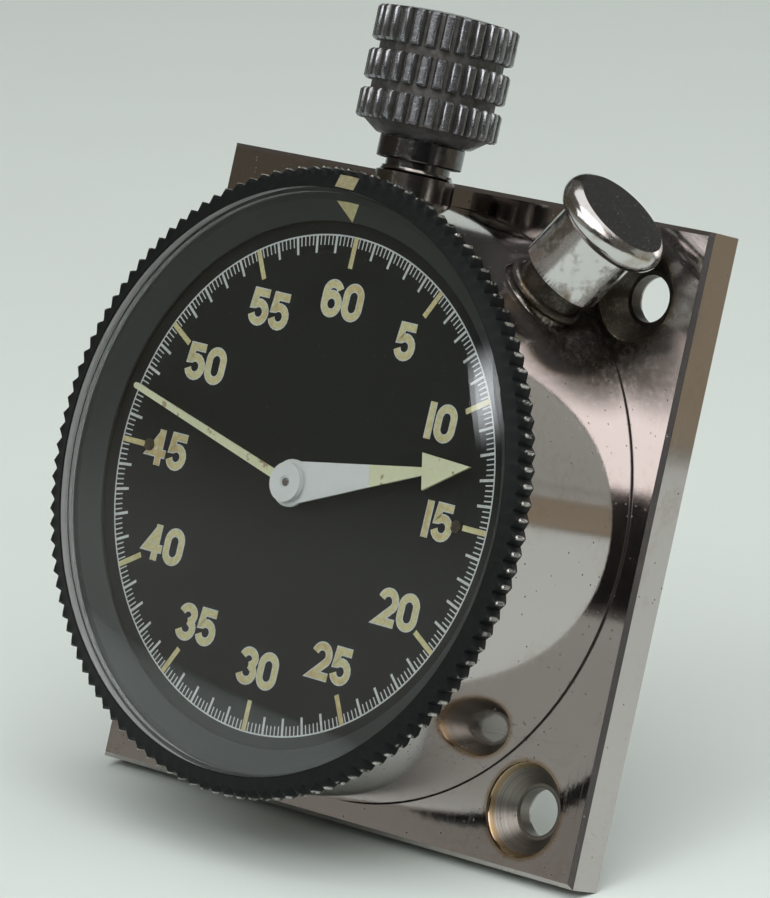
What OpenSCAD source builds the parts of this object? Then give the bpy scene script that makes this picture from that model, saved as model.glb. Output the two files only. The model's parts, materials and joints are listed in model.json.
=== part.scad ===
// Mechanical dashboard stopwatch on a square mounting plate.
// Every piece is drawn on the bench: dial up along +Z, twelve o'clock along +Y, plate back on Z = 0.
// Each is then stood up, so that the dial faces -Y and twelve o'clock points along +Z, with the origin
// in the middle of the four corner holes.

/* [Case] */
// Side of the square mounting plate
plate_side = 58; // [57.5:0.1:59]
// Thickness of the mounting plate
plate_t = 3.6; // [3.4:0.1:3.8]
// Bevel along the front edges of the plate
plate_bevel = 0.4; // [0.2:0.1:0.6]
// Radius of the barrel's wall
barrel_r = 26.9; // [26.85:0.05:27]

/* [Holes and plate screws] */
// Distance between the corner holes, across the plate
corner_x = 43.9; // [43.5:0.1:44.5]
// Distance between the corner holes, up the plate
corner_y = 45.8; // [45.4:0.1:46.2]
// Drop of the corner holes' centre below the dial's centre
hole_drop = 0.5; // [0.4:0.05:0.6]
// Diameter of the corner holes
corner_hole_d = 4.2; // [4:0.1:4.4]
// Diameter of the corner countersinks at the plate's face
countersink_d = 8.4; // [8:0.1:8.8]
// Distance between the plate screws, across the plate
screw_x = 35.8; // [35.6:0.1:36]
// Distance between the plate screws, up the plate
screw_y = 35.2; // [35:0.1:35.4]
// Diameter of the plate screws
plate_screw_d = 2.6; // [2.4:0.1:2.6]
// Diameter of the round pockets that open on the plate screws
pocket_d = 5; // [4.8:0.1:5.1]

/* [Bezel and crystal] */
// Diameter over the crests of the bezel's coin edge
bezel_d = 55.9; // [55.5:0.1:56.2]
// Number of crests on the coin edge
bezel_teeth = 120; // [90:2:130]
// Diameter of the crystal
crystal_d = 52; // [51.8:0.1:52.2]
// Thickness of the crystal
crystal_t = 1.6; // [1.2:0.1:1.8]
// Rise of the crystal's dome
crystal_rise = 2.2; // [1.8:0.1:3]
// Angle of the bezel's marker, clockwise from twelve o'clock
bezel_set = 1.5; // [0:0.5:360]

/* [Dial and hands] */
// Diameter of the dial
dial_d = 46.8; // [46:0.1:46.8]
// Height of the dial's face over the plate's back
dial_z = 15.9; // [15.85:0.05:15.95]
// Reading of the minute hand, in minutes
minutes_shown = 12.7; // [0:0.1:60]
// Reading of the seconds hand, in seconds
seconds_shown = 47.45; // [0:0.05:60]
// Length of the minute hand
minute_hand_l = 20.4; // [18:0.1:21]
// Length of the seconds hand
seconds_hand_l = 21.2; // [19:0.1:22]

/* [Crown and pusher] */
// Height of the crown's and the pusher's axes over the plate's back
button_z = 10.3; // [10.25:0.05:10.35]
// Diameter over the crown's ribs
crown_d = 12.8; // [12.2:0.1:13.2]
// Number of ribs on the crown
crown_ribs = 27; // [24:1:30]
// Push of the crown, from rest to stop
crown_travel = 1.1; // [0.8:0.1:1.1]
// Angle of the pusher, clockwise from twelve o'clock
pusher_angle = 40; // [39:0.5:41]
// Diameter of the pusher's head
pusher_head_d = 10.5; // [9.6:0.1:11]
// Push of the pusher, from rest to stop
pusher_travel = 1.6; // [1.2:0.1:1.6]

/* [Movement] */
// Diameter of the mainplate
movement_d = 43.7; // [43.5:0.1:43.8]
// Distance from the centre to the third wheel
third_distance = 7.3; // [7.2:0.05:7.4]
// Teeth of the mainspring barrel
barrel_teeth = 75; // [75:1:75]
// Teeth of the centre wheel
centre_teeth = 80; // [80:1:80]
// Teeth of the third wheel
third_teeth = 75; // [75:1:75]
// Teeth of the fourth wheel
fourth_teeth = 80; // [80:1:80]
// Leaves of the train pinions
pinion_leaves = 10; // [10:1:10]
// Leaves of the escape pinion
escape_leaves = 8; // [8:1:8]

/* [Hidden] */
$fn = 96;

// Running clearance of arbors and slides, and the gap between bodies that pass each other
run = 0.05;
gap = 0.1;

// Case levels and radii
cavity_r = 22;
back_t = 1.3;
back_recess_r = 22.6;
spigot_r = 23.5;
gasket_w = 0.4;
gasket_t = 0.35;
foot_z = 2.4;
seat_gap = 0.03;
lip_z = 14.2;
lip_r = 19.9;
dial_t = 0.4;
dial_back_z = dial_z - dial_t;
rim_r = 24.6;
rim_z = dial_z + 0.2;
wall_z = 17.3;
channel_r = 26.3;
channel_z = 14.6;
groove_z = 15.55;
groove_r = 0.35;
dial_seat_r = dial_d / 2 + run;
screw_end_z = plate_t + 0.02;
pocket_top_z = 8;
tube_r = 3.6;
crown_neck_r = 2.9;
stem_r = 1;
collar_r = 4.1;
collar_seat = 26.2;
nipple_r = 3.1;

// Mainplate and bridges, front to back
movement_r = movement_d / 2;
plate_z0 = 11.5;
plate_z1 = lip_z - run;
barrel_bridge_z = 6.2;
barrel_bridge_t = 1;
train_bridge_z = 2.6;
train_bridge_t = 1;
cock_z = 4;
cock_t = 1.2;
pallet_cock_z = 8.6;
pallet_cock_t = 0.4;
foot_r = 1.4;
screw_r = 0.5;
screw_head_r = 0.95;
screw_head_t = 0.45;
lip_screw_r = 0.85;
jewel_r = 0.75;
jewel_t = 0.8;
pivot_r = 0.2;

// Tooth proportions, in modules and in shares of the pitch: addendum, dedendum, half root, half tip
wheel_tooth = [0.9, 1.2, 0.28, 0.08];
leaf_tooth = [0.7, 1.2, 0.22, 0.1];
barrel_m = 0.22;
centre_m = 2 * third_distance / (centre_teeth + pinion_leaves);
third_m = 2 * third_distance / (third_teeth + pinion_leaves);
fourth_m = 0.16;

// Places of the arbors, seen from the front
barrel_dir = 150;
third_dir = -40;
escape_dir = -115;
balance_dir = -120;
barrel_distance = barrel_m * (barrel_teeth + pinion_leaves) / 2;
barrel_at = polar(barrel_distance, barrel_dir);
third_at = polar(third_distance, third_dir);
escape_at = polar(fourth_m * (fourth_teeth + escape_leaves) / 2, escape_dir);
balance_at = polar(13.6, balance_dir);
pallet_reach = 2.9;
lever_dir = bearing(escape_at, balance_at);
pallet_at = escape_at + polar(pallet_reach, lever_dir);
pallet_feet = [for (side = [-1, 1]) pallet_at + polar(3.3, lever_dir + side * 90)];
crown_wheel_at = [0, 11];
hammer_at = [12.5, 6];
start_at = [6.5, 12];
click_at = barrel_at + polar(7.6, 170);
dial_post_dirs = [-1.2, 178.8];
dial_post_d = 18.7;
movement_screw_dirs = [10, 130, 250];
movement_screw_d = 20.95;
barrel_feet = [[-18.6, 5], [-5, 18.6], [7, 17.5]];
train_feet = [polar(18.5, bearing([0, 0], hammer_at)), [1.4, -15.9], [-17, -3]];
cock_foot = [-15.5, -9.5];

// Winding: contrate teeth of the crown wheel against the winding pinion, spur teeth against the ratchet
winding_leaves = 14;
contrate_teeth = 28;
contrate_r = 4.6;
contrate_w = 0.8;
winding_m = 2 * contrate_r / contrate_teeth;
winding_pitch_r = winding_m * winding_leaves / 2;
winding_y = [15, 17];
contrate_pitch_z = button_z - winding_pitch_r;
crown_wheel_teeth = 36;
ratchet_teeth = 38;
ratchet_dir = bearing(barrel_at, crown_wheel_at);
ratchet_m = 2 * norm(crown_wheel_at - barrel_at) / (crown_wheel_teeth + ratchet_teeth);
ratchet_z = 5.4;
ratchet_t = 0.6;
barrel_arbor_r = 1;
square_w = 1.4;
post_r = 1.1;

// Train levels
barrel_z = [8.45, 10.6];
barrel_wall_r = 7.7;
barrel_bore_r = 7.2;
barrel_tooth_z = [9.8, 10.5];
centre_pinion_z = [9.6, 10.6];
centre_wheel_z = [10.85, 11.2];
third_pinion_z = [10.7, 11.35];
third_wheel_z = [8.4, 8.8];
fourth_pinion_z = [8, 9.2];
fourth_wheel_z = [4.5, 4.9];
escape_pinion_z = [4.3, 5.1];
escape_wheel_z = [9.3, 9.6];
pallet_z = [9.2, 9.7];
minute_tube_r = 0.8;
minute_bore_r = 0.42;
seconds_r = 0.36;
minute_hand_z = dial_z + 1.05;
minute_hand_t = 0.25;
seconds_hand_z = minute_hand_z + minute_hand_t + 0.25;
escape_r = 2.2;
balance_r = 6;
staff_r = 0.3;

// Reset and start works
heart_r = [1, 2.4];
seconds_heart_z = [3.75, 4.2];
minute_heart_z = [14.4, 15];
pusher_dir = 90 - pusher_angle;
pusher_end = 17.4;
tail_at = polar(pusher_end - 0.85, pusher_dir);
tail_z = [9.9, 10.7];
hammer_arm = hammer_at * [sin(pusher_dir), -cos(pusher_dir)];
hammer_turn = pusher_travel / hammer_arm * 180 / PI;
stem_end = 14;
start_tip = [0, stem_end - 0.35];
start_turn = crown_travel / start_at[0] * 180 / PI;
brake_r = 0.6;
brake_stop = fourth_m * (fourth_teeth / 2 + wheel_tooth[0]) + brake_r + gap;
brake_dir = bearing([0, 0], start_at) + acos(brake_stop / norm(start_at));
brake_at = start_at + turned(polar(brake_stop, brake_dir) - start_at, -start_turn);
brake_z = [4.35, 4.7];

// A point by distance and direction
function polar(d, a) = [d * cos(a), d * sin(a)];
// Direction from p to q
function bearing(p, q) = atan2(q[1] - p[1], q[0] - p[0]);
// A vector turned by an angle
function turned(v, a) = [v[0] * cos(a) - v[1] * sin(a), v[0] * sin(a) + v[1] * cos(a)];

// Stands a piece up from the bench
module bench() {
    translate([0, 0, hole_drop]) rotate([90, 0, 0]) children();
}

module at(p) {
    translate([p[0], p[1], 0]) children();
}

module disc(r, z0, z1) {
    translate([0, 0, z0]) cylinder(r = r, h = z1 - z0);
}

module slab(z) {
    translate([0, 0, z[0]]) linear_extrude(z[1] - z[0]) children();
}

// Lays a turned piece along a radius of the dial at the height of the buttons
module along(dir) {
    translate([0, 0, button_z]) rotate(dir - 90) rotate([-90, 0, 0]) children();
}

// A flat bar with round ends
module bar(p, q, w) {
    for (end = [p, q]) at(end) circle(d = w);
    at(p) rotate(bearing(p, q)) translate([0, -w / 2]) square([norm(q - p), w]);
}

// A toothed outline with its first tooth on +X
module teeth(n, m, tooth) {
    root = m * (n / 2 - tooth[1]);
    tip = m * (n / 2 + tooth[0]);
    corner = [[-tooth[2], root], [-tooth[3], tip], [tooth[3], tip], [tooth[2], root]];
    polygon([for (i = [0:n - 1]) for (c = corner) polar(c[1], (i + c[0]) * 360 / n)]);
}

// A spoked wheel with a bore
module spoked(n, m, bore_r, spokes) {
    rim = m * (n / 2 - wheel_tooth[1]) - 4 * m;
    hub = bore_r + 4 * m + 0.4;
    difference() {
        teeth(n, m, wheel_tooth);
        circle(r = bore_r);
        difference() {
            circle(r = rim);
            circle(r = hub);
            for (i = [0:spokes - 1]) rotate(i * 360 / spokes) translate([0, -0.4]) square([rim + 1, 0.8]);
        }
    }
}

// A pinion or wheel set so that a gap faces the mate that lies in a direction
module gap_to(dir, n) {
    rotate(dir + 180 / n) children();
}

// A heart cam that points at the twelve mark when its hand does
module heart(bore_r) {
    step = 7.5;
    difference() {
        polygon([for (a = [-180:step:180 - step])
            polar(heart_r[1] - (heart_r[1] - heart_r[0]) * abs(a) / 180, a + 90)]);
        circle(r = bore_r);
    }
}

// A flat spiral strip with its inner end on +X
module spiral(r0, r1, turns, strip) {
    steps = 30 * turns;
    path = [for (i = [0:steps]) [r0 + (r1 - r0) * i / steps, 12 * i]];
    outer = [for (p = path) polar(p[0] + strip / 2, p[1])];
    inner = [for (i = [steps:-1:0]) polar(path[i][0] - strip / 2, path[i][1])];
    polygon(concat(outer, inner));
}

module ring_bore(r, z) {
    disc(r, z[0] - 1, z[1] + 1);
}

// A stepped arbor with fine pivots at its ends
module arbor(r, z0, z1, pivot_l) {
    disc(r, z0 + pivot_l, z1 - pivot_l);
    disc(pivot_r, z0, z1);
}

module bridge_foot(z) {
    disc(foot_r, z, plate_z0);
}

module slotted_screw(head_r, shank_r, z_head, head_t, z_end) {
    difference() {
        disc(head_r, z_head, z_head + head_t);
        translate([-head_r - 1, -0.12, z_head - 1]) cube([2 * head_r + 2, 0.24, 1 + head_t / 2]);
    }
    disc(shank_r, z_head + head_t, z_end);
}

// The square plate, with a seat for the barrel's foot
module mounting_plate() {
    color("silver") bench() difference() {
        translate([-plate_side / 2, -plate_side / 2, 0]) cube([plate_side, plate_side, plate_t]);
        for (a = [0:90:270]) rotate(a) translate([plate_side / 2, 0, plate_t]) rotate([0, 45, 0])
            cube([plate_bevel * sqrt(2), plate_side * 2, plate_bevel * sqrt(2)], center = true);
        disc(spigot_r + seat_gap, -1, plate_t + 1);
        disc(barrel_r + seat_gap, foot_z, plate_t + 1);
        translate([0, 0, plate_t - 0.1]) cylinder(r1 = barrel_r, r2 = barrel_r + 0.2, h = 0.2);
        plate_holes();
    }
}

// A plain barrel on a spigot, with a channel round the dial's rim for the bezel's skirt
module case_barrel() {
    rotate_extrude() {
        square([spigot_r, foot_z + 1]);
        polygon([[0, foot_z], [barrel_r, foot_z], [barrel_r, wall_z], [channel_r, wall_z], [channel_r, channel_z],
            [rim_r, channel_z], [rim_r, rim_z], [0, rim_z]]);
    }
}

module four(across, up) {
    for (x = [-1, 1], y = [-1, 1]) translate([x * across / 2, y * up / 2 - hole_drop, 0]) children();
}

// Countersunk corner holes, and the screw holes whose ends open into round pockets in the barrel's wall
module plate_holes() {
    r = pocket_d / 2;
    ball_z = screw_end_z + sqrt(r * r - plate_screw_d * plate_screw_d / 4);
    four(corner_x, corner_y) {
        disc(corner_hole_d / 2, -1, plate_t + 1);
        translate([0, 0, plate_t]) rotate_extrude() polygon([[0, 1], [countersink_d / 2, 1],
            [countersink_d / 2, -0.3], [corner_hole_d / 2 + 0.4, -2.2], [0, -2.2]]);
    }
    four(screw_x, screw_y) {
        disc(plate_screw_d / 2, -1, plate_t + 1);
        disc(r, ball_z, pocket_top_z);
        for (z = [ball_z, pocket_top_z]) translate([0, 0, z]) sphere(r = r);
    }
}

module plate_screws() {
    color("gray") bench() four(screw_x, screw_y) difference() {
        disc(plate_screw_d / 2, 0.3, screw_end_z);
        translate([-2, -0.2, 0]) cube([4, 0.4, 0.8]);
    }
}

module case_body() {
    color("silver") bench() difference() {
        case_barrel();
        disc(back_recess_r, -1, back_t);
        disc(cavity_r, -1, lip_z);
        disc(lip_r, 0, rim_z + 1);
        disc(dial_seat_r, dial_back_z, rim_z + 1);
        rotate_extrude() translate([cavity_r + gap, back_t - 1]) square([gasket_w, 1 + gasket_t]);
        plate_holes();
        along(90) disc(tube_r, 15, 40);
        along(pusher_dir) {
            disc(nipple_r, 15, 40);
            disc(collar_r, collar_seat, 40);
        }
        for (a = movement_screw_dirs) at(polar(movement_screw_d, a)) {
            disc(0.6, lip_z - 1, dial_z);
            disc(lip_screw_r, dial_back_z - screw_head_t, dial_z);
        }
        rotate_extrude() translate([rim_r, groove_z]) circle(r = groove_r);
    }
}

module case_back() {
    step_r = 18;
    color("lightgray") bench() difference() {
        disc(back_recess_r - gap, gap, back_t);
        disc(step_r, gap - 0.5, gap + 0.15);
        for (a = [0:60:300]) rotate(a) translate([step_r + 1.6, -1, gap - 0.5]) cube([2.2, 2, 1.1]);
    }
}

module back_gasket() {
    color("black") bench() translate([0, 0, back_t]) difference() {
        cylinder(r = cavity_r + gap + gasket_w, h = gasket_t);
        translate([0, 0, -1]) cylinder(r = cavity_r + gap, h = 3);
    }
}

// The tube's coved mouth stands clear of the wall
module crown_tube() {
    foot = 22.15;
    mouth = 29.2;
    cove = 0.5;
    bore_end = 25.4;
    color("silver") bench() along(90) difference() {
        rotate_extrude() difference() {
            translate([0, foot]) square([tube_r, mouth - foot]);
            translate([tube_r + 0.05, mouth]) circle(r = cove);
        }
        disc(crown_neck_r + run, bore_end, mouth + 1);
        disc(stem_r + run, foot - 1, bore_end + 1);
    }
}

// A waisted collar that seats on the wall, with a rolled lip and the tube that the sleeve slides over
module pusher_tube() {
    lip = 27.9;
    lip_r = 0.42;
    waist_r = 3.3;
    guide_r = 3.1;
    waist = lip - 2 * lip_r - collar_seat;
    color("silver") bench() along(pusher_dir) difference() {
        union() {
            disc(nipple_r, 22.25, collar_seat);
            rotate_extrude() {
                translate([waist_r, lip - lip_r]) circle(r = lip_r);
                difference() {
                    translate([0, collar_seat]) square([collar_r, waist]);
                    translate([waist_r + waist, lip - 2 * lip_r]) circle(r = waist);
                    translate([waist_r + waist, collar_seat]) square([waist, 2 * waist]);
                }
            }
            disc(waist_r, collar_seat, lip - lip_r);
            disc(guide_r, collar_seat, 33.4);
        }
        disc(stem_r + run, 20, 40);
        disc(2.5, 24.2, 40);
    }
}

module bezel_spring() {
    color("steelblue") bench() rotate_extrude(angle = 340) translate([rim_r, groove_z])
        circle(r = groove_r - gap);
}

// The coin edge is cut by a double cone, so that each crest is bevelled front and back
module bezel() {
    notch = 0.55;
    crest_turn = 0.25;
    edge_z = [18.3, 19.05];
    bevel = [0.65, 0.35];
    skirt_r = 26.15;
    skirt_z = 15.05;
    core_r = bezel_d / 2 - 0.7;
    core_z = [17.5, 19.5];
    top_z = 19.9;
    seat_z = 17.1;
    ledge_z = 16.3;
    ledge_r = 25.15;
    inner_r = crystal_d / 2 + 0.02;
    pitch = 360 / bezel_teeth;
    color([0.08, 0.09, 0.09]) bench() difference() {
        union() {
            intersection() {
                slab([edge_z[0] - bevel[0], edge_z[1] + bevel[1]]) polygon([for (i = [0:bezel_teeth - 1]) each [
                    polar(bezel_d / 2, i * pitch - crest_turn),
                    polar(bezel_d / 2, i * pitch + crest_turn),
                    polar(bezel_d / 2 - notch, (i + 0.5) * pitch)]]);
                rotate_extrude() polygon([[0, edge_z[0] - bevel[0]], [bezel_d / 2 - bevel[0], edge_z[0] - bevel[0]],
                    [bezel_d / 2, edge_z[0]], [bezel_d / 2, edge_z[1]],
                    [bezel_d / 2 - bevel[1], edge_z[1] + bevel[1]], [0, edge_z[1] + bevel[1]]]);
            }
            rotate_extrude() polygon([[0, skirt_z], [skirt_r, skirt_z], [skirt_r, core_z[0]], [core_r, core_z[0]],
                [core_r, core_z[1]], [inner_r + 0.1, top_z], [0, top_z]]);
        }
        disc(rim_r + gap, 0, ledge_z);
        disc(ledge_r, ledge_z - 0.1, seat_z + 1);
        disc(inner_r, seat_z, top_z + 1);
        rotate_extrude() translate([rim_r, groove_z]) circle(r = groove_r);
        marker_cut();
    }
}

// The marker's seat and body: a small slab let into the sloping top at twelve
module marker_cut() {
    rotate(-bezel_set) translate([-1.1, crystal_d / 2 + 0.15, 19.2]) cube([2.2, 1.15, 1]);
}

module bezel_marker() {
    color("wheat") bench() intersection() {
        marker_cut();
        rotate_extrude($fn = 360) polygon([[0, 19], [bezel_d / 2 - 0.4, 19], [bezel_d / 2 - 0.7, 19.5],
            [crystal_d / 2 + 0.12, 19.9], [0, 19.9]]);
    }
}

module flange_ring() {
    color([0.07, 0.08, 0.08]) bench() rotate_extrude() polygon([[23.3, dial_z + 0.2], [23.3, dial_z + 0.5],
        [25, 17.55], [crystal_d / 2, 17.55], [crystal_d / 2, 17.12], [25.1, 17.12]]);
}

module crystal() {
    seat_z = 17.57;
    edge_z = 19.7;
    apex_z = edge_z + crystal_rise;
    r = crystal_d / 2;
    dome_r = (r * r + crystal_rise * crystal_rise) / (2 * crystal_rise);
    color([0.8, 0.85, 0.9, 0.4]) bench() difference() {
        intersection() {
            disc(r, seat_z, apex_z + 1);
            translate([0, 0, apex_z - dome_r]) sphere(r = dome_r, $fn = 200);
        }
        intersection() {
            disc(r - 1.4, seat_z - 1, apex_z + 1);
            translate([0, 0, apex_z - dome_r]) sphere(r = dome_r - crystal_t, $fn = 200);
        }
    }
}

module dial() {
    color([0.05, 0.05, 0.06]) bench() difference() {
        disc(dial_d / 2, dial_back_z, dial_z);
        disc(1.3, 0, 30);
        for (a = dial_post_dirs) at(polar(dial_post_d, a)) disc(0.35, 0, 30);
    }
}

module dial_screws() {
    head_t = 0.2;
    color("gray") bench() for (a = dial_post_dirs) at(polar(dial_post_d, a)) difference() {
        union() {
            disc(0.55, dial_z, dial_z + head_t);
            disc(0.35, plate_z1, dial_z);
        }
        translate([-1, -0.08, dial_z + head_t / 2]) cube([2, 0.16, 1]);
    }
}

module minute_hand() {
    arrow_base = 15.05;
    hub_r = 2.1;
    color("white") bench() rotate(90 - 6 * minutes_shown) difference() {
        union() {
            disc(hub_r, minute_hand_z, minute_hand_z + minute_hand_t);
            slab([minute_hand_z, minute_hand_z + minute_hand_t])
                polygon([[1, -1.83], [1, 1.83], [arrow_base, 0.35], [arrow_base, 1.63],
                    [minute_hand_l, 0], [arrow_base, -1.63], [arrow_base, -0.35]]);
        }
        disc(minute_tube_r, 0, 30);
    }
}

module seconds_hand() {
    boss_t = 0.5;
    root_r = 0.42;
    tip_r = 0.27;
    color("ivory") bench() rotate(90 - 6 * seconds_shown) difference() {
        union() {
            disc(1.75, seconds_hand_z, seconds_hand_z + boss_t);
            slab([seconds_hand_z, seconds_hand_z + 0.2]) {
                polygon([[0, -root_r], [seconds_hand_l - tip_r, -tip_r], [seconds_hand_l - tip_r, tip_r],
                    [0, root_r]]);
                translate([seconds_hand_l - tip_r, 0]) circle(r = tip_r);
            }
        }
        disc(seconds_r, 0, 30);
        disc(0.55, seconds_hand_z + boss_t - 0.2, 30);
    }
}

// One band of flat-topped ribs around the crown, bevelled at both ends
module crown_band(y0, y1) {
    root_w = 1.16;
    top_w = 0.96;
    bevel = 0.15;
    core_r = crown_d / 2 - 0.45;
    intersection() {
        slab([y0, y1]) {
            circle(r = core_r);
            for (i = [0:crown_ribs - 1]) rotate(i * 360 / crown_ribs)
                polygon([[core_r - 1, -root_w / 2], [core_r, -root_w / 2], [crown_d / 2 + 0.1, -top_w / 2],
                    [crown_d / 2 + 0.1, top_w / 2], [core_r, root_w / 2], [core_r - 1, root_w / 2]]);
        }
        rotate_extrude() polygon([[0, y0], [crown_d / 2 - bevel, y0], [crown_d / 2, y0 + bevel],
            [crown_d / 2, y1 - bevel], [crown_d / 2 - bevel, y1], [0, y1]]);
    }
}

// The skirt is hollow at its foot and comes down over the tube's mouth
module crown() {
    base = 32.9;
    bands = [[base, base + 2.6], [base + 3.45, base + 6.1], [base + 6.95, base + 10.05]];
    core_r = crown_d / 2 - 0.8;
    dome_r = 45;
    dome_rise = 0.45;
    dome_edge = 0.55;
    skirt = [29.85, 31.75];
    skirt_r = 3.85;
    hollow_r = 3.5;
    hollow_t = 0.55;
    neck_foot = 26.6;
    color("silver") bench() along(90) difference() {
        union() {
            for (b = bands) crown_band(b[0], b[1]);
            disc(core_r, base, bands[2][1] - 0.2);
            intersection() {
                disc(crown_d / 2 - dome_edge, bands[2][1] - 0.2, 50);
                translate([0, 0, bands[2][1] + dome_rise - dome_r]) sphere(r = dome_r, $fn = 200);
            }
            translate([0, 0, skirt[1]]) cylinder(r1 = skirt_r + 0.5, r2 = core_r + 0.1, h = base - skirt[1]);
            difference() {
                disc(skirt_r, skirt[0], skirt[1]);
                disc(hollow_r, skirt[0] - 1, skirt[0] + hollow_t);
            }
            disc(crown_neck_r, neck_foot, skirt[1]);
        }
        disc(stem_r, 20, base);
    }
}

// Round through the plate, square through the winding pinion
module winding_stem() {
    color("gray") bench() along(90) {
        disc(stem_r, winding_y[1] + 0.4 + crown_travel, 32.9);
        slab([stem_end, winding_y[1] + 0.4 + crown_travel]) square(square_w, center = true);
    }
}

// A slightly domed head with a bulging rim, on a sleeve
module pusher() {
    top = 37.75;
    bulge_r = 1.3;
    dome_r = 120;
    sleeve = [29.75, 36.2];
    color("silver") bench() along(pusher_dir) difference() {
        union() {
            disc(3.85, sleeve[0], sleeve[1]);
            intersection() {
                rotate_extrude() {
                    translate([pusher_head_d / 2 - bulge_r, top - bulge_r]) circle(r = bulge_r);
                    translate([0, top - 2.2]) square([pusher_head_d / 2 - bulge_r, 3]);
                }
                translate([0, 0, top - dome_r]) sphere(r = dome_r, $fn = 400);
            }
        }
        disc(3.1 + run, 20, 35.4);
        disc(stem_r, 20, 36.8);
    }
}

module pusher_stem() {
    color("gray") bench() along(pusher_dir) disc(stem_r, pusher_end, 36.8);
}

// A coil spring round the pusher's stem, swept as one tube of six sides
module pusher_spring() {
    wire_r = 0.22;
    coil_r = 1.75;
    turns = 6;
    z0 = 24.5;
    z1 = 35.1;
    rings = 12 * turns;
    sides = 6;
    points = [for (i = [0:rings]) for (k = [0:sides - 1])
        let (a = 360 * turns * i / rings, r = coil_r + wire_r * cos(60 * k))
        [r * cos(a), r * sin(a), z0 + (z1 - z0) * i / rings + wire_r * sin(60 * k)]];
    walls = [for (i = [0:rings - 1]) for (k = [0:sides - 1])
        let (a = i * sides + k, b = i * sides + (k + 1) % sides)
        each [[a, b + sides, b], [a, a + sides, b + sides]]];
    caps = [for (k = [1:sides - 2]) each [[0, k, k + 1],
        [rings * sides, rings * sides + k + 1, rings * sides + k]]];
    color("steelblue") bench() along(pusher_dir) polyhedron(points, concat(walls, caps));
}

module mainplate() {
    guide_w = 5;
    color("darkkhaki") bench() difference() {
        union() {
            disc(movement_r, plate_z0, plate_z1);
            for (a = dial_post_dirs) at(polar(dial_post_d, a)) disc(0.8, plate_z0, dial_back_z);
            translate([-guide_w / 2, winding_y[1] + 0.3, button_z - 1.6])
                cube([guide_w, 3.4, plate_z0 - button_z + 1.7]);
        }
        disc(minute_tube_r + run, 0, 30);
        for (p = [third_at, escape_at, pallet_at, balance_at]) at(p) disc(jewel_r, 0, plate_z0 + jewel_t);
        at(barrel_at) disc(barrel_arbor_r + run, 0, plate_z0 + 1.5);
        at(hammer_at) disc(0.6 + run, 0, 30);
        at(start_at) disc(0.45 + run, 0, plate_z0 + 1);
        for (a = dial_post_dirs) at(polar(dial_post_d, a)) disc(0.35, plate_z1, 30);
        for (a = movement_screw_dirs) at(polar(movement_screw_d, a)) disc(0.6, plate_z0 + 1, 30);
        translate([-3, winding_y[0] - 0.25, 0]) cube([6, winding_y[1] - winding_y[0] + 0.5, 13.2]);
        along(90) disc(1 + run, 10, 30);
    }
}

module movement_screws() {
    color("steelblue") bench() for (a = movement_screw_dirs) at(polar(movement_screw_d, a)) {
        disc(lip_screw_r, dial_back_z - screw_head_t, dial_back_z - run);
        disc(0.6, plate_z0 + 1, dial_back_z - screw_head_t);
    }
}

module barrel_bridge() {
    edge = [[-21, 2], [-3.2, 2], [-1.5, 5], [8.2, 5], [9.2, 21], [-21, 21]];
    color("darkkhaki") bench() difference() {
        union() {
            slab([barrel_bridge_z, barrel_bridge_z + barrel_bridge_t]) intersection() {
                circle(r = movement_r - 0.9);
                polygon(edge);
            }
            for (p = barrel_feet) at(p) bridge_foot(barrel_bridge_z);
            at(barrel_at) disc(2.5, barrel_bridge_z, barrel_z[0] - 0.2);
        }
        at(crown_wheel_at) disc(5.6, 0, 30);
        at(barrel_at) disc(barrel_arbor_r + run, 0, 30);
        at(start_at) disc(0.45 + run, 0, 30);
        at(click_at) disc(0.4, 0, barrel_bridge_z + 0.8);
        for (p = barrel_feet) at(p) disc(screw_r, 0, barrel_bridge_z + 3);
    }
}

module train_bridge() {
    color("darkkhaki") bench() difference() {
        union() {
            slab([train_bridge_z, train_bridge_z + train_bridge_t]) {
                circle(r = 3.6);
                for (p = concat(train_feet, [third_at, escape_at])) {
                    at(p) circle(r = 2);
                    rotate(bearing([0, 0], p)) translate([1, -1.7]) square([norm(p) - 1, 3.4]);
                }
            }
            for (p = train_feet) at(p) bridge_foot(train_bridge_z);
        }
        for (p = [[0, 0], third_at, escape_at]) at(p) disc(jewel_r, 0, 4);
        at(hammer_at) disc(0.6 + run, 0, 4);
        for (p = train_feet) at(p) disc(screw_r, 0, train_bridge_z + 4);
    }
}

module balance_cock() {
    color("darkkhaki") bench() difference() {
        union() {
            slab([cock_z, cock_z + cock_t]) bar(cock_foot, balance_at, 3);
            at(cock_foot) bridge_foot(cock_z);
        }
        at(balance_at) disc(jewel_r, 0, 6);
        at(cock_foot) disc(screw_r, 0, cock_z + 3);
    }
}

module pallet_cock() {
    color("darkkhaki") bench() difference() {
        union() {
            slab([pallet_cock_z, pallet_cock_z + pallet_cock_t]) bar(pallet_feet[0], pallet_feet[1], 1.7);
            for (p = pallet_feet) at(p) disc(0.8, pallet_cock_z, plate_z0);
        }
        at(pallet_at) disc(jewel_r - 0.2, 0, 10);
        for (p = pallet_feet) at(p) disc(0.3, 0, pallet_cock_z + 2);
    }
}

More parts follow.
